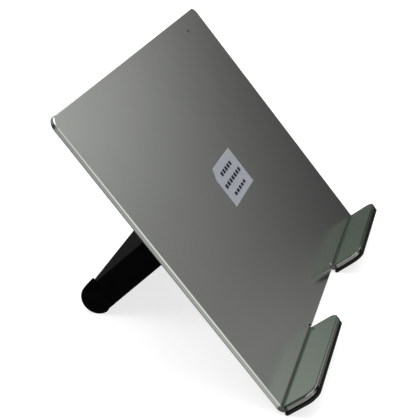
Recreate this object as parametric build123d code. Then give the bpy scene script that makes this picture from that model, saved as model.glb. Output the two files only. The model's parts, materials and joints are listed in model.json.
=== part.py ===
"""Tablet stand: a bent aluminium plate with two lips, propped up by a folding easel leg.

Every piece is first drawn in the plate's own axes, in millimetres:
  X runs along the plate's bottom edge, 0 in the middle
  Y runs up the plate, 0 at the bottom edge between the lips
  Z points out of the plate's front, 0 on the front face
The pieces of the leg are drawn with their pivot at the origin and the leg straight out along -Z,
then they droop about the pivot and move to its place behind the plate.
At the end the whole stand leans back about X until its lips and its leg stand on one floor.
In the finished frame the front looks towards -Y and +Z is up, with the origin on the floor
under the middle of the object.
"""
from build123d import *
import math
import os

# ---- plate and lips ----
PLATE_WIDTH = 200.0
PLATE_HEIGHT = 144.0
SHEET = 2.5
PLATE_CORNER = 4.5
LIP_WIDTH = 67.6
LIP_DEPTH = 15.5
LIP_CORNER = 6.0
LIP_DROP = 0.2
BEND_INSIDE = 0.8
RELIEF_WIDTH = 1.6
RELIEF_TOP = 2.4
EDGE_BREAK = 0.4
REAR_EDGE_BREAK = 0.7
PIP_RADIUS = 0.9
PIP_DEPTH = 1.2
PIP_FROM_RIGHT = 28.4
PIP_FROM_TOP = 8.3

# ---- pads on the lips ----
LINER = 0.5
LINER_INSET = 0.25
LINER_FRONT_INSET = 0.02
LINER_EDGE = 0.2
SOLE = 1.4
SOLE_INSET = 0.15
SOLE_EDGE = 0.4
HEEL_RADIUS = 0.9
HEEL_BACK = 1.1
HEEL_RISE = 0.4
HEEL_WRAP_ANGLE = 20.0

# ---- label ----
LABEL_WIDTH = 34.0
LABEL_HEIGHT = 20.0
LABEL_CUT_ACROSS = 4.2
LABEL_CUT_DOWN = 5.2
LABEL_THICK = 0.15
LABEL_CENTER = (1.3, 71.4)

# ---- leg ----
LEG_WIDTH = 83.0
LEG_SHEET = 1.5
LEG_BEND = 2.4
LEG_ABOVE_PIVOT = 6.75
LEG_BELOW_PIVOT = 6.4
LEG_LENGTH = 65.8
LEG_NOSE = 7.5
LEG_TOE_RADIUS = 5.0
LEG_DROOP = 5.5
LEG_STOP_GAP = 0.02
PIVOT_HEIGHT = 72.0
PIVOT_BACK = 9.6

# ---- rubber caps on the leg's two rear corners ----
CAP_WIDTH = 4.5
CAP_PROUD_SIDE = 1.0
CAP_PROUD_TOP = 2.25
CAP_PROUD_END = 4.6
CAP_START = 58.3
CAP_RADIUS = 7.8
CAP_MIDDLE = 0.8
CAP_ROUNDING = 0.9

# ---- hinge bracket: one bent steel sheet ----
BRACKET_SHEET = 1.6
BRACKET_BEND = 2.4
BASE_ABOVE_PIVOT = 17.0
BASE_BELOW_PIVOT = 15.0
BASE_CORNER = 3.0
EAR_RADIUS = 5.0
EAR_FOOT = 9.0

# ---- hinge hardware, the same on both sides ----
FRICTION_WASHER = 0.8
FRICTION_RADIUS = 4.6
SHOULDER_RADIUS = 2.5
SHOULDER_FIT = 0.05
THREAD_RADIUS = 2.0
THREAD_PROUD = 0.6
SPRING_WASHER = 0.6
SPRING_RADIUS = 4.4
SPRING_SPLIT = 0.8
HEAD_RADIUS = 4.2
HEAD_HEIGHT = 2.0
HEAD_EDGE = 0.4
SOCKET_RADIUS = 1.45
SOCKET_DEPTH = 1.2
LOCK_NUT_RADIUS = 4.0
LOCK_NUT_HEIGHT = 4.0

# ---- studs, washers and nuts that hold the bracket on the plate ----
STUD_OUT = 29.0
STUD_ABOVE_PIVOT = 13.2
STUD_BELOW_PIVOT = 11.0
STUD_RADIUS = 1.5
STUD_LENGTH = 6.2
STUD_COLLAR_RADIUS = 2.2
STUD_COLLAR = 0.5
WASHER_RADIUS = 3.6
WASHER = 0.5
NUT_RADIUS = 3.17
NUT_HEIGHT = 2.4
HOLE_CLEARANCE = 0.2
THREAD_END = 0.4
NUT_CORNER_TURN = 0.12

# ---- worked out from the dimensions above ----
GAP_HALF = PLATE_WIDTH / 2 - LIP_WIDTH
LIP_TOP = -LIP_DROP
LIP_UNDERSIDE = LIP_TOP - SHEET
SOLE_BOTTOM = LIP_UNDERSIDE - SOLE
BEND_OUTSIDE = BEND_INSIDE + SHEET
BEND_Y = LIP_TOP + BEND_INSIDE
BEND_Z = BEND_INSIDE
BACK = -SHEET
BASE_REAR = BACK - BRACKET_SHEET
HEEL_Y = SOLE_BOTTOM + HEEL_RADIUS
HEEL_Z = HEEL_RADIUS - HEEL_BACK
BRACKET_FRONT = PIVOT_BACK - SHEET
FLANGE_INNER = LEG_WIDTH / 2 - LEG_SHEET
EAR_OUTER = FLANGE_INNER - FRICTION_WASHER
EAR_INNER = EAR_OUTER - BRACKET_SHEET
HEAD_INNER = LEG_WIDTH / 2 + SPRING_WASHER
CAP_TOP = LEG_ABOVE_PIVOT + CAP_PROUD_TOP
CAP_CENTER = LEG_LENGTH + CAP_PROUD_END - CAP_RADIUS
CAP_OUTER = LEG_WIDTH / 2 + CAP_PROUD_SIDE
CAP_INNER = CAP_OUTER - CAP_WIDTH
BIG = 400.0
MARGIN = 1.0
CLOSE = 0.01


# ---- small helpers ----
def prism(profile, x_from, x_to):
    """A profile drawn in Y and Z, swept along X."""
    return extrude(Plane.YZ.offset(x_from) * profile, amount=x_to - x_from)


def block(x_range, y_range, z_range):
    size = [high - low for low, high in (x_range, y_range, z_range)]
    middle = [(high + low) / 2 for low, high in (x_range, y_range, z_range)]
    return Pos(*middle) * Box(*size)


def rod_x(radius, x_from, x_to):
    """A round rod along X through the pivot."""
    return prism(Circle(radius), x_from, x_to)


def rod_back(radius, z_front, length):
    """A round rod from z_front towards the back."""
    return Pos(0, 0, z_front - length / 2) * Cylinder(radius, length)


def round_tips(pad, radius):
    """Round the two outer corners of a lip-shaped pad."""
    tips = pad.edges().filter_by(Axis.Y).group_by(Axis.Z)[-1]
    return fillet(tips, radius)


def mirrored(shape):
    return mirror(shape, about=Plane.YZ)


# ---- plate ----
def lip_profile():
    inside = CenterArc((BEND_Y, BEND_Z), BEND_INSIDE, 180, 90)
    outside = CenterArc((BEND_Y, BEND_Z), BEND_OUTSIDE, 180, 90)
    lip = Polyline(
        (LIP_TOP, BEND_Z), (LIP_TOP, LIP_DEPTH), (LIP_UNDERSIDE, LIP_DEPTH), (LIP_UNDERSIDE, BEND_Z)
    )
    root = Line((BEND_Y, 0), (BEND_Y, BACK))
    return make_face([inside, outside, lip, root])


def relief_slot():
    """The round-ended slot that frees a lip's bend from the edge between the lips."""
    middle = GAP_HALF - RELIEF_WIDTH / 2
    radius = RELIEF_WIDTH / 2
    slot = block(
        (middle - radius, middle + radius),
        (-MARGIN, RELIEF_TOP - radius),
        (BACK - MARGIN, MARGIN),
    )
    return slot + Pos(middle, RELIEF_TOP - radius, BACK / 2) * Cylinder(radius, SHEET + 2 * MARGIN)


def skin_rim(faces):
    """The edges that go once round a set of faces."""
    rim = []
    for edge in ShapeList([edge for face in faces for edge in face.edges()]):
        owners = [face for face in faces if any(edge.is_same(other) for other in face.edges())]
        if len(owners) == 1:
            rim.append(edge)
    return ShapeList(rim)


def is_front_skin(face):
    """True on the plate's front, the inside of a lip's bend and the top of a lip."""
    if face.geom_type == GeomType.CYLINDER:
        return abs(face.radius - BEND_INSIDE) < CLOSE and face.center().Z > 0
    if face.geom_type != GeomType.PLANE:
        return False
    normal = face.normal_at()
    on_front = normal.Z > 1 - CLOSE and abs(face.center().Z) < CLOSE
    on_lip = normal.Y > 1 - CLOSE and abs(face.center().Y - LIP_TOP) < CLOSE
    return on_front or on_lip


def is_rear_skin(face):
    """True on the plate's back, the outside of a lip's bend and the underside of a lip."""
    if face.geom_type == GeomType.CYLINDER:
        return abs(face.radius - BEND_OUTSIDE) < CLOSE
    if face.geom_type != GeomType.PLANE:
        return False
    normal = face.normal_at()
    on_back = normal.Z < CLOSE - 1 and abs(face.center().Z - BACK) < CLOSE
    on_lip = normal.Y < CLOSE - 1 and abs(face.center().Y - LIP_UNDERSIDE) < CLOSE
    return on_back or on_lip


def back_plate():
    half = PLATE_WIDTH / 2
    panel = block((-half, half), (BEND_Y, PLATE_HEIGHT), (BACK, 0))
    panel = fillet(panel.edges().filter_by(Axis.Z).group_by(Axis.Y)[-1], PLATE_CORNER)
    plate = panel + block((-GAP_HALF, GAP_HALF), (0, BEND_Y), (BACK, 0))
    lip = prism(lip_profile(), GAP_HALF, half)
    lip = round_tips(lip, LIP_CORNER)
    slot = relief_slot()
    plate = plate - slot - mirrored(slot) + lip + mirrored(lip)
    front = [face for face in plate.faces() if is_front_skin(face)]
    plate = chamfer(skin_rim(front), EDGE_BREAK)
    rear = [face for face in plate.faces() if is_rear_skin(face)]
    plate = chamfer(skin_rim(rear), REAR_EDGE_BREAK)
    # The pip is a small blind hole near the top right corner.
    pip = rod_back(PIP_RADIUS, MARGIN, MARGIN + PIP_DEPTH)
    return plate - Pos(half - PIP_FROM_RIGHT, PLATE_HEIGHT - PIP_FROM_TOP, 0) * pip


# ---- pads on the lips ----
def lip_liner():
    """A thin pad whose back edge follows the inside of the lip's bend."""
    low = GAP_HALF + LINER_INSET
    high = PLATE_WIDTH / 2 - LINER_INSET
    pad = block((low, high), (LIP_TOP, LIP_TOP + LINER), (0, LIP_DEPTH - LINER_FRONT_INSET))
    pad = round_tips(pad, LIP_CORNER - LINER_INSET)
    round_corner = Pos(0, BEND_Y, BEND_Z) * rod_x(BEND_INSIDE, low, high)
    corner = block((low, high), (LIP_TOP, BEND_Y), (0, BEND_Z))
    pad = pad - (corner - round_corner)
    top = pad.faces().filter_by(Plane.XZ).sort_by(Axis.Y)[-1]
    rim = [edge for edge in top.edges() if edge.center().Z > BEND_INSIDE]
    return chamfer(rim, LINER_EDGE)


def sole_profile():
    turn = math.radians(HEEL_WRAP_ANGLE)
    wrap_y = BEND_Y - BEND_OUTSIDE * math.cos(turn)
    wrap_z = BEND_Z - BEND_OUTSIDE * math.sin(turn)
    tip = LIP_DEPTH - SOLE_INSET
    hug = CenterArc((BEND_Y, BEND_Z), BEND_OUTSIDE, 180, HEEL_WRAP_ANGLE)
    heel = CenterArc((HEEL_Y, HEEL_Z), HEEL_RADIUS, 180, 90)
    back = Polyline((HEEL_Y, -HEEL_BACK), (HEEL_Y + HEEL_RISE, -HEEL_BACK), (wrap_y, wrap_z))
    rest = Polyline(
        (SOLE_BOTTOM, HEEL_Z),
        (SOLE_BOTTOM, tip),
        (LIP_UNDERSIDE, tip),
        (LIP_UNDERSIDE, BEND_Z),
    )
    return make_face([hug, heel, back, rest])


def lip_sole():
    pad = prism(sole_profile(), GAP_HALF + SOLE_INSET, PLATE_WIDTH / 2 - SOLE_INSET)
    pad = round_tips(pad, LIP_CORNER - SOLE_INSET)
    bottom = pad.faces().filter_by(Plane.XZ).sort_by(Axis.Y)[0]
    rim = [edge for edge in bottom.edges() if edge.center().Z > HEEL_Z + CLOSE]
    return chamfer(rim, SOLE_EDGE)


def label():
    right = LABEL_WIDTH / 2
    top = LABEL_HEIGHT / 2
    outline = Polyline(
        (-right, -top),
        (right, -top),
        (right, top),
        (LABEL_CUT_ACROSS - right, top),
        (-right, top - LABEL_CUT_DOWN),
        close=True,
    )
    return Pos(*LABEL_CENTER, 0) * extrude(make_face(outline), amount=LABEL_THICK)


# ---- leg, drawn with the pivot at the origin ----
def leg_section():
    """The U seen from behind, open downwards."""
    height = LEG_ABOVE_PIVOT + LEG_BELOW_PIVOT
    middle = (LEG_ABOVE_PIVOT - LEG_BELOW_PIVOT) / 2
    outer = Pos(0, middle) * Rectangle(LEG_WIDTH, height)
    outer = fillet(outer.vertices().group_by(Axis.Y)[-1], LEG_BEND)
    inner = Pos(0, middle - LEG_SHEET) * Rectangle(2 * FLANGE_INNER, height)
    inner = fillet(inner.vertices().group_by(Axis.Y)[-1], LEG_BEND - LEG_SHEET)
    return outer - inner


def leg_side_profile():
    """The leg from the side: a round lower front about the pivot and a round toe."""
    toe_z = LEG_TOE_RADIUS - LEG_LENGTH
    toe_y = LEG_TOE_RADIUS - LEG_BELOW_PIVOT
    chin = CenterArc((0, 0), LEG_BELOW_PIVOT, 90, 90)
    toe = CenterArc((toe_y, toe_z), LEG_TOE_RADIUS, 180, 90)
    sole = Line((-LEG_BELOW_PIVOT, 0), (-LEG_BELOW_PIVOT, toe_z))
    top = Polyline(
        (toe_y, -LEG_LENGTH),
        (LEG_ABOVE_PIVOT + MARGIN, -LEG_LENGTH),
        (LEG_ABOVE_PIVOT + MARGIN, LEG_NOSE),
        (0, LEG_BELOW_PIVOT),
    )
    return make_face([chin, toe, sole, top])


def leg_metal():
    length = LEG_LENGTH + LEG_NOSE
    channel = Pos(0, 0, -LEG_LENGTH) * extrude(leg_section(), amount=length)
    side = prism(leg_side_profile(), -LEG_WIDTH, LEG_WIDTH)
    hole = rod_x(SHOULDER_RADIUS + SHOULDER_FIT, -LEG_WIDTH, LEG_WIDTH)
    return (channel & side) - hole


def cap_profile():
    """The boot from the side: a round end, flat in line with the leg's lower edge."""
    corner = math.acos((CAP_MIDDLE + LEG_BELOW_PIVOT) / CAP_RADIUS)
    corner_z = -CAP_CENTER - CAP_RADIUS * math.sin(corner)
    start = 180 + math.degrees(corner)
    arc = CenterArc((CAP_MIDDLE, -CAP_CENTER), CAP_RADIUS, start, 360 - start)
    sides = Polyline(
        (CAP_MIDDLE + CAP_RADIUS, -CAP_CENTER),
        (CAP_TOP, -CAP_START),
        (-LEG_BELOW_PIVOT, -CAP_START),
        (-LEG_BELOW_PIVOT, corner_z),
    )
    return make_face([arc, sides])


def foot_cap():
    """A boot pressed over one rear corner of the leg."""
    boot = prism(cap_profile(), CAP_INNER, CAP_OUTER)
    cheeks = boot.faces().filter_by(Plane.YZ)
    boot = fillet([edge for cheek in cheeks for edge in cheek.edges()], CAP_ROUNDING)
    return boot - leg_metal()


def on_pivot(shape):
    """From axes with the pivot at the origin to its place behind the plate."""
    return Pos(0, PIVOT_HEIGHT, -PIVOT_BACK) * shape


def on_leg(shape):
    """From the leg's own axes to its place behind the plate, standing open."""
    return on_pivot(Rot(-LEG_DROOP, 0, 0) * shape)


def leg_channel():
    """The leg's front end is trimmed flat where it bears on the bracket and stops."""
    in_front = block((-BIG, BIG), (-BIG, BIG), (BASE_REAR - LEG_STOP_GAP, BIG))
    return on_leg(leg_metal()) - in_front


# ---- hinge bracket ----
def ear_profile():
    base = BRACKET_FRONT - BRACKET_SHEET
    cheek = Polyline(
        (EAR_RADIUS, 0),
        (EAR_RADIUS, base),
        (-EAR_FOOT, base),
        (-EAR_RADIUS, 0),
        close=True,
    )
    return make_face(cheek) + Circle(EAR_RADIUS)


def bracket_section():
    """The bracket's U over the ears' height: base at the plate, ears towards the back."""
    depth = BRACKET_FRONT + EAR_RADIUS
    outer = Rectangle(2 * EAR_OUTER, depth)
    outer = fillet(outer.vertices().group_by(Axis.Y)[-1], BRACKET_BEND)
    inner = Pos(0, -BRACKET_SHEET) * Rectangle(2 * EAR_INNER, depth)
    inner = fillet(inner.vertices().group_by(Axis.Y)[-1], BRACKET_BEND - BRACKET_SHEET)
    return Pos(0, BRACKET_FRONT - depth / 2) * (outer - inner)


def bracket_ears():
    base_z = (BRACKET_FRONT - BRACKET_SHEET, BRACKET_FRONT)
    top = Plane(origin=(0, EAR_RADIUS, 0), x_dir=(1, 0, 0), z_dir=(0, -1, 0))
    strap = extrude(top * bracket_section(), amount=EAR_RADIUS + EAR_FOOT)
    ears = prism(ear_profile(), -EAR_OUTER, EAR_OUTER)
    root = block((-EAR_OUTER, EAR_OUTER), (-EAR_FOOT, EAR_RADIUS), base_z)
    return strap & (ears + root)


def bracket_base():
    flat = EAR_OUTER - BRACKET_BEND
    base = block(
        (-flat, flat),
        (-BASE_BELOW_PIVOT, BASE_ABOVE_PIVOT),
        (BRACKET_FRONT - BRACKET_SHEET, BRACKET_FRONT),
    )
    return fillet(base.edges().filter_by(Axis.Z), BASE_CORNER)


def hinge_bracket():
    bracket = bracket_base() + bracket_ears() - rod_x(THREAD_RADIUS + HOLE_CLEARANCE, -BIG, BIG)
    bracket = on_pivot(bracket)
    for place in stud_places():
        bracket = bracket - place * rod_back(STUD_COLLAR_RADIUS + HOLE_CLEARANCE, MARGIN, BIG)
    return bracket


# ---- hinge hardware on the right; the left is its mirror image ----
def friction_washer():
    ring = rod_x(FRICTION_RADIUS, EAR_OUTER, FLANGE_INNER)
    return on_pivot(ring - rod_x(SHOULDER_RADIUS + SHOULDER_FIT, 0, BIG))


def spring_washer():
    ring = rod_x(SPRING_RADIUS, LEG_WIDTH / 2, HEAD_INNER)
    ring = ring - rod_x(SHOULDER_RADIUS + SHOULDER_FIT, 0, BIG)
    split = block((0, BIG), (0, BIG), (-SPRING_SPLIT / 2, SPRING_SPLIT / 2))
    return on_pivot(ring - split)


def pivot_bolt():
    head = rod_x(HEAD_RADIUS, HEAD_INNER, HEAD_INNER + HEAD_HEIGHT)
    head = chamfer(head.faces().sort_by(Axis.X)[-1].edges(), HEAD_EDGE)
    outer = HEAD_INNER + HEAD_HEIGHT
    head = head - prism(RegularPolygon(SOCKET_RADIUS, 6), outer - SOCKET_DEPTH, outer + MARGIN)
    shoulder = rod_x(SHOULDER_RADIUS, EAR_OUTER, HEAD_INNER)
    end = EAR_INNER - LOCK_NUT_HEIGHT - THREAD_PROUD
    thread = rod_x(THREAD_RADIUS, end, EAR_OUTER)
    thread = chamfer(thread.faces().sort_by(Axis.X)[0].edges(), THREAD_END)
    return on_pivot(head + shoulder + thread)


def hex_nut(radius, height, hole):
    """A hexagonal nut on the XY plane, its corners turned off at both ends."""
    nut = extrude(RegularPolygon(radius, 6), amount=height)
    turned = Pos(0, 0, height / 2) * Cylinder(radius, height)
    turned = chamfer(turned.edges().filter_by(GeomType.CIRCLE), radius * NUT_CORNER_TURN)
    return (nut & turned) - Cylinder(hole, 4 * height)


def lock_nut():
    nut = hex_nut(LOCK_NUT_RADIUS, LOCK_NUT_HEIGHT, THREAD_RADIUS)
    return on_pivot(Pos(EAR_INNER, 0, 0) * Rot(0, -90, 0) * nut)


# ---- studs and what is on them ----
def stud_places():
    """The four studs, on the plate's back face."""
    heights = (PIVOT_HEIGHT - STUD_BELOW_PIVOT, PIVOT_HEIGHT + STUD_ABOVE_PIVOT)
    return [Pos(x, y, 0) for x in (-STUD_OUT, STUD_OUT) for y in heights]


def at_studs(shape):
    return Compound(children=[place * shape for place in stud_places()])


def weld_studs():
    pin = rod_back(STUD_RADIUS, BACK, STUD_LENGTH)
    pin = chamfer(pin.faces().sort_by(Axis.Z)[0].edges(), THREAD_END)
    return at_studs(pin + rod_back(STUD_COLLAR_RADIUS, BACK, STUD_COLLAR))


def bracket_washers():
    return at_studs(rod_back(WASHER_RADIUS, BASE_REAR, WASHER) - rod_back(STUD_RADIUS, 0, BIG))


def bracket_nuts():
    nut = hex_nut(NUT_RADIUS, NUT_HEIGHT, STUD_RADIUS)
    return at_studs(Pos(0, 0, BASE_REAR - WASHER - NUT_HEIGHT) * nut)


# ---- how the stand stands ----
def standing_tilt():
    """The plate's angle to the floor, where one floor touches the heels and the leg's round end."""
    foot = on_leg(Pos(0, CAP_MIDDLE, -CAP_CENTER)).position
    reach = math.hypot(foot.Y - HEEL_Y, foot.Z - HEEL_Z)
    slope = math.atan2(foot.Z - HEEL_Z, foot.Y - HEEL_Y)
    floor_normal = slope + math.acos((CAP_RADIUS - HEEL_RADIUS) / reach)
    return 90 - math.degrees(floor_normal)


def pieces():
    """Every node in the plate's axes."""
    made = {
        "back_plate": back_plate(),
        "label": label(),
        "hinge_bracket": hinge_bracket(),
        "weld_studs": weld_studs(),
        "bracket_washers": bracket_washers(),
        "bracket_nuts": bracket_nuts(),
        "leg_channel": leg_channel(),
    }
    handed = {
        "lip_liner": lip_liner(),
        "lip_sole": lip_sole(),
        "friction_washer": friction_washer(),
        "spring_washer": spring_washer(),
        "pivot_bolt": pivot_bolt(),
        "lock_nut": lock_nut(),
        "foot_cap": on_leg(foot_cap()),
    }
    for name, shape in handed.items():
        made[name + "_right"] = shape
        made[name + "_left"] = mirrored(shape)
    return made


def main():
    tilt = standing_tilt()
    leaned = {name: Rot(tilt, 0, 0) * shape for name, shape in pieces().items()}
    boxes = [shape.bounding_box() for shape in leaned.values()]
    front = min(box.min.Y for box in boxes)
    rear = max(box.max.Y for box in boxes)
    floor = min(box.min.Z for box in boxes)
    stand = Pos(0, -(front + rear) / 2, -floor)
    os.makedirs("parts", exist_ok=True)
    for name, shape in leaned.items():
        export_step(stand * shape, f"parts/{name}.step")
    pivot = (stand * Rot(tilt, 0, 0) * Pos(0, PIVOT_HEIGHT, -PIVOT_BACK)).position
    print("plate angle to the floor", round(tilt, 3), "degrees")
    print("hinge axis through", tuple(round(value, 4) for value in pivot), "along X")
    height = max(box.max.Z for box in boxes) - floor
    print("depth", round(rear - front, 2), "height", round(height, 2))


main()
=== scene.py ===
"""Looks for the tablet stand: materials, small hardware, the label's print, and the stage.

Small pieces are drawn in the plate's axes, in millimetres from the middle of the hinge:
X runs along the plate's bottom edge, Y up the plate, and Z out of its front.
"""
import json
import math

import bmesh
import bpy
from mathutils import Matrix, Vector


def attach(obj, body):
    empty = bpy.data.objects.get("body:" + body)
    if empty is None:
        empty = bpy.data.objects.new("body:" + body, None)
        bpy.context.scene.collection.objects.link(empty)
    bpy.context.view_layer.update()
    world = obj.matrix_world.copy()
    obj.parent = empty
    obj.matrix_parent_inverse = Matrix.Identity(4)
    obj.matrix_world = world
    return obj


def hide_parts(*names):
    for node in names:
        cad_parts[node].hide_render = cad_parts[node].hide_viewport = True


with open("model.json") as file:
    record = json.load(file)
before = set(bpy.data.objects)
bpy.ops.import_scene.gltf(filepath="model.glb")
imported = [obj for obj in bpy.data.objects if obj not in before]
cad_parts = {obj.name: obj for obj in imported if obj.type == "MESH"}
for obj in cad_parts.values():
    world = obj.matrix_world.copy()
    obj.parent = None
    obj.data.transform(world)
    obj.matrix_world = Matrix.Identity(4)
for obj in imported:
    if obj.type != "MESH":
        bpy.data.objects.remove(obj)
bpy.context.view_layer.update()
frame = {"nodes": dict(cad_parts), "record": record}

MM = 0.001
NODES = frame["nodes"]
PIVOT = Vector(frame["record"]["behaviour"]["joints"][0]["pos_m"])
PLATE_LEAN = math.radians(49.670)
PLATE_AXES = Matrix.Translation(PIVOT) @ Matrix.Rotation(PLATE_LEAN, 4, "X")

# ---- camera ----
CAMERA_PLACE = (-0.46063, -0.10478, 0.24263)
CAMERA_AIM = (-0.00762, 0.00832, 0.04357)
CAMERA_ROLL = math.radians(1.334)
CAMERA_LENS = 93.62
CAMERA_SENSOR = 36.0
CAMERA_NEAR = 0.01


# ---- materials ----
NOISE_ROUGHNESS = 0.7
PATCH_DETAIL = 4.0
GRAIN_DETAIL = 3.0
NOISE_LOW = 0.3
NOISE_HIGH = 0.7


def link(tree, source, target):
    tree.links.new(source, target)


def combine(tree, operation, first, second):
    """Two values joined by one step of arithmetic."""
    node = tree.nodes.new("ShaderNodeMath")
    node.operation = operation
    link(tree, first, node.inputs[0])
    link(tree, second, node.inputs[1])
    return node.outputs["Value"]


def noise(tree, scale, detail):
    """Noise in the object's own metres; scale is in waves per metre."""
    place = tree.nodes.new("ShaderNodeTexCoord")
    texture = tree.nodes.new("ShaderNodeTexNoise")
    texture.inputs["Scale"].default_value = scale
    texture.inputs["Detail"].default_value = detail
    texture.inputs["Roughness"].default_value = NOISE_ROUGHNESS
    link(tree, place.outputs["Object"], texture.inputs["Vector"])
    return texture.outputs["Fac"]


def spread(tree, value, low, high, start=NOISE_LOW, end=NOISE_HIGH):
    """A value between start and end, stretched to run from low to high."""
    node = tree.nodes.new("ShaderNodeMapRange")
    node.inputs["From Min"].default_value = start
    node.inputs["From Max"].default_value = end
    node.inputs["To Min"].default_value = low
    node.inputs["To Max"].default_value = high
    link(tree, value, node.inputs["Value"])
    return node.outputs["Result"]


def two_tones(tree, value, dark, light):
    """A colour from dark to light over the middle of a noise."""
    node = tree.nodes.new("ShaderNodeValToRGB")
    ends = node.color_ramp.elements
    ends[0].position = NOISE_LOW
    ends[0].color = (*dark, 1.0)
    ends[1].position = NOISE_HIGH
    ends[1].color = (*light, 1.0)
    link(tree, value, node.inputs["Fac"])
    return node.outputs["Color"]


def surface(name, tones, patch, grain, rough, relief, **sockets):
    """Two tones in soft patches, with a fine grain in the roughness and in the relief.

    patch and grain are waves per metre, rough is the roughness from smooth to dull grain,
    relief is the grain's height in metres, and sockets are constants of the shader.
    """
    material = bpy.data.materials.new(name)
    material.use_nodes = True
    tree = material.node_tree
    shader = tree.nodes["Principled BSDF"]
    fine = noise(tree, grain, GRAIN_DETAIL)
    coarse = noise(tree, patch, PATCH_DETAIL)
    link(tree, two_tones(tree, coarse, *tones), shader.inputs["Base Color"])
    link(tree, spread(tree, fine, *rough), shader.inputs["Roughness"])
    bump = tree.nodes.new("ShaderNodeBump")
    bump.inputs["Distance"].default_value = relief
    link(tree, fine, bump.inputs["Height"])
    link(tree, bump.outputs["Normal"], shader.inputs["Normal"])
    for socket, value in sockets.items():
        shader.inputs[socket.replace("_", " ")].default_value = value
    return material


MATERIALS = {
    "anodised_aluminium": surface(
        "anodised_aluminium",
        ((0.469, 0.484, 0.458), (0.487, 0.502, 0.474)),
        patch=60, grain=2600, rough=(0.18, 0.22), relief=0.000001, Metallic=1.0,
    ),
    "liner_pad": surface(
        "liner_pad",
        ((0.010, 0.033, 0.012), (0.013, 0.040, 0.015)),
        patch=120, grain=3000, rough=(0.12, 0.16), relief=0.000002,
    ),
    "sole_rubber": surface(
        "sole_rubber",
        ((0.005, 0.007, 0.005), (0.008, 0.011, 0.008)),
        patch=300, grain=4000, rough=(0.55, 0.70), relief=0.00003,
        IOR=1.25,
    ),
    "label_paper": surface(
        "label_paper",
        ((0.285, 0.296, 0.334), (0.320, 0.330, 0.370)),
        patch=400, grain=5000, rough=(0.60, 0.75), relief=0.00001,
    ),
    "black_steel": surface(
        "black_steel",
        ((0.0014, 0.0014, 0.0016), (0.0024, 0.0024, 0.0026)),
        patch=150, grain=2200, rough=(0.30, 0.40), relief=0.00003,
        IOR=1.03,
    ),
    "cap_rubber": surface(
        "cap_rubber",
        ((0.0014, 0.0014, 0.0016), (0.0024, 0.0024, 0.0026)),
        patch=250, grain=3500, rough=(0.50, 0.65), relief=0.00002,
        IOR=1.05,
    ),
    "zinc_steel": surface(
        "zinc_steel",
        ((0.52, 0.53, 0.55), (0.66, 0.67, 0.69)),
        patch=500, grain=3000, rough=(0.22, 0.34), relief=0.00001, Metallic=1.0,
    ),
    "washer_nylon": surface(
        "washer_nylon",
        ((0.62, 0.60, 0.54), (0.70, 0.68, 0.62)),
        patch=400, grain=4000, rough=(0.40, 0.50), relief=0.00001,
        Subsurface_Weight=0.2, Subsurface_Scale=0.001,
    ),
    "label_ink": surface(
        "label_ink",
        ((0.006, 0.008, 0.015), (0.012, 0.015, 0.026)),
        patch=900, grain=5000, rough=(0.55, 0.70), relief=0.000005,
        Specular_IOR_Level=0.1,
    ),
}


def dress_nodes():
    """Every CAD node takes the material of its slot in the record."""
    for part in frame["record"]["subparts"]:
        node = NODES[part["node"]]
        for place in node.material_slots:
            place.material = MATERIALS[part["material_slot"]]


# ---- painted shade in the metal at the lips: their folds and bare edges ----
# In the plate's axes, in millimetres: painted shade darkens the metal's colour to LIP_SHADE over
# LIP_STARTS in front of the hinge (the lips' bare edges), and to FOLD_SHADE near the fold's line
# (the crease), but not in the gap between the lips.
LIP_SHADE = 0.45
LIP_STARTS = (9.7, 10.2)
FOLD_SHADE = 0.2
FOLD_UP = -72.85
FOLD_OUT = 8.95
FOLD_REACH = (1.9, 2.6)
GAP_SIDE = (32.0, 32.4)


def ramp(tree, value, ends, low, high):
    """From low to high between two ends given in millimetres."""
    start, end = ends
    return spread(tree, value, low, high, start * MM, end * MM)


def plate_place(tree):
    """A point in the plate's axes: how far to either side, how far up, and how far out."""
    place = tree.nodes.new("ShaderNodeTexCoord")
    axes = tree.nodes.new("ShaderNodeMapping")
    axes.vector_type = "TEXTURE"
    axes.inputs["Location"].default_value = PIVOT
    axes.inputs["Rotation"].default_value = (PLATE_LEAN, 0.0, 0.0)
    parts = tree.nodes.new("ShaderNodeSeparateXYZ")
    aside = tree.nodes.new("ShaderNodeMath")
    aside.operation = "ABSOLUTE"
    link(tree, place.outputs["Object"], axes.inputs["Vector"])
    link(tree, axes.outputs["Vector"], parts.inputs["Vector"])
    link(tree, parts.outputs["X"], aside.inputs[0])
    return aside.outputs["Value"], parts.outputs["Y"], parts.outputs["Z"]


def from_fold(tree, up, out):
    """The distance from a line through the metal of the fold, along the plate's bottom edge."""
    flat = tree.nodes.new("ShaderNodeCombineXYZ")
    gap = tree.nodes.new("ShaderNodeVectorMath")
    gap.operation = "DISTANCE"
    gap.inputs[1].default_value = (0.0, FOLD_UP * MM, FOLD_OUT * MM)
    link(tree, up, flat.inputs["Y"])
    link(tree, out, flat.inputs["Z"])
    link(tree, flat.outputs["Vector"], gap.inputs[0])
    return gap.outputs["Value"]


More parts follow.
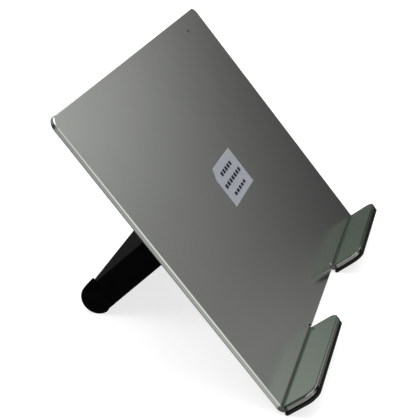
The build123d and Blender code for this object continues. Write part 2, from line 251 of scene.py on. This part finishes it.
def paint_lip_and_fold_shade(material):
    """Painted shade: the metal's colour is darkened in the folds of the lips and on their bare
    edges, below that of the plate's face.
    """
    tree = material.node_tree
    color = tree.nodes["Principled BSDF"].inputs["Base Color"]
    aside, up, out = plate_place(tree)
    # Painted shade on the lips' bare edges, past the plate's face.
    lip_shade = ramp(tree, out, LIP_STARTS, 1.0, LIP_SHADE)
    # Painted shade in the crease along the fold's line, left out in the gap between the lips.
    fold_shade = ramp(tree, from_fold(tree, up, out), FOLD_REACH, FOLD_SHADE, 1.0)
    between_lips = ramp(tree, aside, GAP_SIDE, 1.0, 0.0)
    fold_shade_or_gap = combine(tree, "MAXIMUM", fold_shade, between_lips)
    shaded_color = tree.nodes.new("ShaderNodeVectorMath")
    shaded_color.operation = "SCALE"
    link(tree, color.links[0].from_socket, shaded_color.inputs[0])
    link(tree, combine(tree, "MULTIPLY", lip_shade, fold_shade_or_gap), shaded_color.inputs["Scale"])
    link(tree, shaded_color.outputs["Vector"], color)


# ---- meshes ----
def add_object(name, data):
    obj = bpy.data.objects.new(name, data)
    bpy.context.scene.collection.objects.link(obj)
    return obj


def piece(name, mesh, material, body):
    obj = add_object(name, mesh)
    mesh.materials.append(MATERIALS[material])
    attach(obj, body)
    return obj


def finish_mesh(shape, name):
    bmesh.ops.recalc_face_normals(shape, faces=shape.faces)
    mesh = bpy.data.meshes.new(name)
    shape.to_mesh(mesh)
    shape.free()
    return mesh


def plate_point(shape, across, up, out):
    """A new point given in the plate's axes, in millimetres."""
    return shape.verts.new(PLATE_AXES @ (Vector((across, up, out)) * MM))


def wall(shape, near, far):
    """Faces all round between two rings with as many points each."""
    count = len(near)
    for i in range(count):
        j = (i + 1) % count
        shape.faces.new((near[i], near[j], far[j], far[i]))


# ---- the label's print: three rows of plain short bars, all alike in a row ----
LABEL_MIDDLE = (1.3, -0.6)
LABEL_FACE = 9.75
INK_THICK = 0.012
INK_LIFT = 0.004
INK_CORNER = 0.2
CORNER_STEPS = 4
BAR_STEP = 3.8
BAR_GAP = 1.2
# Each row: its middle above the label's, its height, and where it starts and ends.
PRINT_ROWS = [
    (4.8, 2.2, -9.0, 8.6),
    (-0.6, 2.1, -13.3, 12.8),
    (-6.2, 1.7, -9.8, 9.0),
]


def rounded_bar(left, right, middle, height):
    """The outline of a bar with round corners."""
    top = middle + height / 2 - INK_CORNER
    bottom = middle - height / 2 + INK_CORNER
    start = left + INK_CORNER
    end = right - INK_CORNER
    outline = []
    for quarter, (x, y) in enumerate([(end, top), (start, top), (start, bottom), (end, bottom)]):
        for step in range(CORNER_STEPS + 1):
            angle = math.pi / 2 * (quarter + step / CORNER_STEPS)
            outline.append((x + INK_CORNER * math.cos(angle), y + INK_CORNER * math.sin(angle)))
    return outline


def prism_up(shape, outline, low, high):
    """A closed prism of an outline on the plate, between two heights."""
    near = [plate_point(shape, x, y, low) for x, y in outline]
    far = [plate_point(shape, x, y, high) for x, y in outline]
    shape.faces.new(near)
    shape.faces.new(far)
    wall(shape, near, far)


def row_bars(left, right):
    """Where each bar of a row starts and ends."""
    count = round((right - left) / BAR_STEP)
    step = (right - left + BAR_GAP) / count
    for i in range(count):
        start = left + i * step
        yield start, start + step - BAR_GAP


def label_print():
    shape = bmesh.new()
    across, up = LABEL_MIDDLE
    low = LABEL_FACE + INK_LIFT
    for middle, height, left, right in PRINT_ROWS:
        for start, end in row_bars(left, right):
            outline = rounded_bar(across + start, across + end, up + middle, height)
            prism_up(shape, outline, low, low + INK_THICK)
    mesh = finish_mesh(shape, "label_print")
    piece("label_print", mesh, "label_ink", "plate")


# ---- threads of the studs that hold the bracket ----
STUD_OUT = 29.0
STUD_BELOW = 11.0
STUD_ABOVE = 13.2
STUD_FRONT = 7.1
STUD_LENGTH = 6.2
COLLAR_RADIUS = 2.2
COLLAR_LENGTH = 0.5
THREAD_PITCH = 0.5
THREAD_CREST = 1.5
THREAD_ROOT = 1.22
THREAD_POINT = 0.4
STUD_STEPS = 24
STEPS_PER_TURN = 6


def collar_radius(angle, along):
    """The radius of the plain round collar."""
    return COLLAR_RADIUS


def thread_radius(angle, along):
    """The radius of a right-hand thread with a sharp form and a pointed end."""
    phase = (along / THREAD_PITCH - angle / math.tau) % 1.0
    ridge = 1.0 - abs(2.0 * phase - 1.0)
    radius = THREAD_ROOT + (THREAD_CREST - THREAD_ROOT) * ridge
    return min(radius, THREAD_CREST - THREAD_POINT + max(0.0, STUD_LENGTH - along))


def stud_ring(shape, x, y, along, radius_at):
    """One ring of points about a stud's axis, along behind its front end."""
    ring = []
    for step in range(STUD_STEPS):
        angle = math.tau * step / STUD_STEPS
        radius = radius_at(angle, along)
        across = x + radius * math.cos(angle)
        up = y + radius * math.sin(angle)
        ring.append(plate_point(shape, across, up, STUD_FRONT - along))
    return ring


def stud(shape, x, y):
    """A collar at the plate, then a thread out to the stud's end."""
    rings = [stud_ring(shape, x, y, along, collar_radius) for along in (0.0, COLLAR_LENGTH)]
    threaded = STUD_LENGTH - COLLAR_LENGTH
    count = int(threaded / THREAD_PITCH * STEPS_PER_TURN)
    for step in range(count + 1):
        along = COLLAR_LENGTH + threaded * step / count
        rings.append(stud_ring(shape, x, y, along, thread_radius))
    shape.faces.new(rings[0])
    shape.faces.new(rings[-1])
    for near, far in zip(rings, rings[1:]):
        wall(shape, near, far)


def stud_threads():
    """Four studs with a cut thread, in place of plain pins."""
    shape = bmesh.new()
    for x in (-STUD_OUT, STUD_OUT):
        for y in (-STUD_BELOW, STUD_ABOVE):
            stud(shape, x, y)
    mesh = finish_mesh(shape, "stud_threads")
    studs = piece("stud_threads", mesh, "zinc_steel", "plate")
    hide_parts("weld_studs")


# ---- nylon rings in the lock nuts ----
RING_OUTER = 2.95
RING_HOLE = 1.95
RING_PROUD = 0.35
RING_SUNK = 0.3
RING_ROUND = 0.3
RING_STEPS = 48
RING_CORNER_STEPS = 6
NUT_END = 33.6


def ring_corner(radius, turn):
    """A round corner of the ring's end: turn is 1 at its outside and -1 at its hole."""
    corner = []
    for step in range(RING_CORNER_STEPS + 1):
        angle = math.pi / 2 * step / RING_CORNER_STEPS
        away = radius + turn * RING_ROUND * (math.cos(angle) - 1.0)
        corner.append((away, RING_PROUD + RING_ROUND * (math.sin(angle) - 1.0)))
    return corner


def ring_section():
    """The outline of a section: how far from the axis, and how far past the nut's end."""
    outside = [(RING_OUTER, -RING_SUNK)] + ring_corner(RING_OUTER, 1.0)
    inside = [(RING_HOLE, -RING_SUNK)] + ring_corner(RING_HOLE, -1.0)
    return outside + inside[::-1]


def nylon_ring(side, name):
    """A ring that shows at the inner end of a lock nut: side is -1 on the left, 1 on the right."""
    shape = bmesh.new()
    section = ring_section()
    loops = []
    for step in range(RING_STEPS):
        angle = math.tau * step / RING_STEPS
        loop = []
        for away, past in section:
            place = (side * (NUT_END - past), away * math.cos(angle), away * math.sin(angle))
            loop.append(plate_point(shape, *place))
        loops.append(loop)
    for near, far in zip(loops, loops[1:] + loops[:1]):
        wall(shape, near, far)
    piece(name, finish_mesh(shape, name), "washer_nylon", "plate")


# ---- lights, floor and camera ----
# Each soft light of the room: azimuth from +X and elevation of its middle, how far from the middle
# it fades out and how far it is full (all in degrees), and its strength.
ROOM_LIGHTS = [
    (0.0, 90.0, 50.0, 25.0, 1.1),
    (-143.0, -15.0, 84.0, 37.0, 0.8),
    (0.0, -90.0, 50.0, 25.0, 0.8),
    (75.0, 0.0, 57.0, 30.0, 0.35),
    (24.0, -2.0, 16.0, 4.0, 0.2),
    (13.5, 16.0, 12.0, 4.0, 2.5),
    (-122.0, 25.0, 14.0, 5.0, 0.8),
    (-19.4, 30.2, 21.0, 0.0, 0.57),
    (-31.3, 17.0, 16.9, 0.0, 0.39),
    (-34.6, -2.7, 12.0, 0.0, 0.32),
    (-8.0, 50.0, 24.0, 14.0, 2.4),
]
ROOM_DIM = 0.02
OVERHEAD_PLACE = (-0.3, 0.5, 1.4)
OVERHEAD_AIM = (0.0, 0.0, 0.05)
OVERHEAD_SIDE = 1.4
OVERHEAD_POWER = 10.0
FLOOR_HALF = 3.0
FLOOR_GLOW = 0.75
BACKDROP_RADIUS = 2.95
BACKDROP_SIDES = 64


def facing(place, aim):
    """The turn of a light or a camera at place that points it at aim."""
    return (Vector(aim) - Vector(place)).to_track_quat("-Z", "Y")


def overhead():
    """One wide soft light, high above the stand."""
    data = bpy.data.lights.new("overhead", "AREA")
    data.shape = "RECTANGLE"
    data.size = OVERHEAD_SIDE
    data.size_y = OVERHEAD_SIDE
    data.energy = OVERHEAD_POWER
    obj = add_object("overhead", data)
    obj.location = OVERHEAD_PLACE
    obj.rotation_euler = facing(OVERHEAD_PLACE, OVERHEAD_AIM).to_euler()


def room_light(tree, azimuth, elevation, fades_out, full, strength):
    """A soft round patch of light, infinitely far away."""
    azimuth = math.radians(azimuth)
    elevation = math.radians(elevation)
    level = math.cos(elevation)
    place = tree.nodes.new("ShaderNodeTexCoord")
    along = tree.nodes.new("ShaderNodeVectorMath")
    along.operation = "DOT_PRODUCT"
    along.inputs[1].default_value = (
        level * math.cos(azimuth), level * math.sin(azimuth), math.sin(elevation)
    )
    link(tree, place.outputs["Generated"], along.inputs[0])
    patch = tree.nodes.new("ShaderNodeMapRange")
    patch.interpolation_type = "SMOOTHSTEP"
    patch.inputs["From Min"].default_value = math.cos(math.radians(fades_out))
    patch.inputs["From Max"].default_value = math.cos(math.radians(full))
    patch.inputs["To Max"].default_value = strength
    link(tree, along.outputs["Value"], patch.inputs["Value"])
    return patch.outputs["Result"]


def studio_world():
    """A dim room with the soft lights added up."""
    world = bpy.data.worlds.new("studio")
    bpy.context.scene.world = world
    world.use_nodes = True
    tree = world.node_tree
    total = tree.nodes.new("ShaderNodeValue").outputs["Value"]
    total.default_value = ROOM_DIM
    for row in ROOM_LIGHTS:
        total = combine(tree, "ADD", total, room_light(tree, *row))
    background = tree.nodes["Background"]
    background.inputs["Color"].default_value = (1.0, 1.0, 1.0, 1.0)
    link(tree, total, background.inputs["Strength"])


def floor():
    """A pale floor that glows a little, so that its shadows stay soft."""
    far = FLOOR_HALF
    corners = [(-far, -far, 0.0), (far, -far, 0.0), (far, far, 0.0), (-far, far, 0.0)]
    mesh = bpy.data.meshes.new("floor")
    mesh.from_pydata(corners, [], [(0, 1, 2, 3)])
    mesh.materials.append(surface(
        "floor",
        ((0.44, 0.44, 0.44), (0.46, 0.46, 0.46)),
        patch=3, grain=400, rough=(0.75, 0.85), relief=0.00002,
        Emission_Color=(1.0, 1.0, 1.0, 1.0), Emission_Strength=FLOOR_GLOW,
    ))
    obj = add_object("floor", mesh)
    obj.visible_glossy = False


def backdrop():
    """A plain pale wall all round, past the object, which only the camera sees."""
    shape = bmesh.new()
    rings = []
    for height in (-BACKDROP_RADIUS, BACKDROP_RADIUS):
        ring = []
        for step in range(BACKDROP_SIDES):
            angle = math.tau * step / BACKDROP_SIDES
            place = (BACKDROP_RADIUS * math.cos(angle), BACKDROP_RADIUS * math.sin(angle), height)
            ring.append(shape.verts.new(place))
        rings.append(ring)
    low, high = rings
    shape.faces.new(high)
    wall(shape, low, high)
    mesh = finish_mesh(shape, "backdrop")
    mesh.materials.append(surface(
        "backdrop",
        ((0.0, 0.0, 0.0), (0.001, 0.001, 0.001)),
        patch=3, grain=400, rough=(0.9, 1.0), relief=0.00002, Specular_IOR_Level=0.0,
        Emission_Color=(1.0, 1.0, 1.0, 1.0), Emission_Strength=1.0,
    ))
    obj = add_object("backdrop", mesh)
    obj.visible_diffuse = False
    obj.visible_glossy = False
    obj.visible_transmission = False
    obj.visible_shadow = False


def camera():
    data = bpy.data.cameras.new("camera")
    data.lens = CAMERA_LENS
    data.sensor_width = CAMERA_SENSOR
    data.clip_start = CAMERA_NEAR
    turn = facing(CAMERA_PLACE, CAMERA_AIM).to_matrix().to_4x4()
    roll = Matrix.Rotation(CAMERA_ROLL, 4, "Z")
    obj = add_object("camera", data)
    obj.matrix_world = Matrix.Translation(CAMERA_PLACE) @ turn @ roll
    bpy.context.scene.camera = obj


dress_nodes()
# Paints shade into the aluminium's colour at the lips' folds and bare edges.
paint_lip_and_fold_shade(MATERIALS["anodised_aluminium"])
label_print()
stud_threads()
nylon_ring(-1.0, "nylon_ring_left")
nylon_ring(1.0, "nylon_ring_right")
floor()
backdrop()
overhead()
studio_world()
camera()
bpy.context.scene.view_settings.view_transform = "Standard"
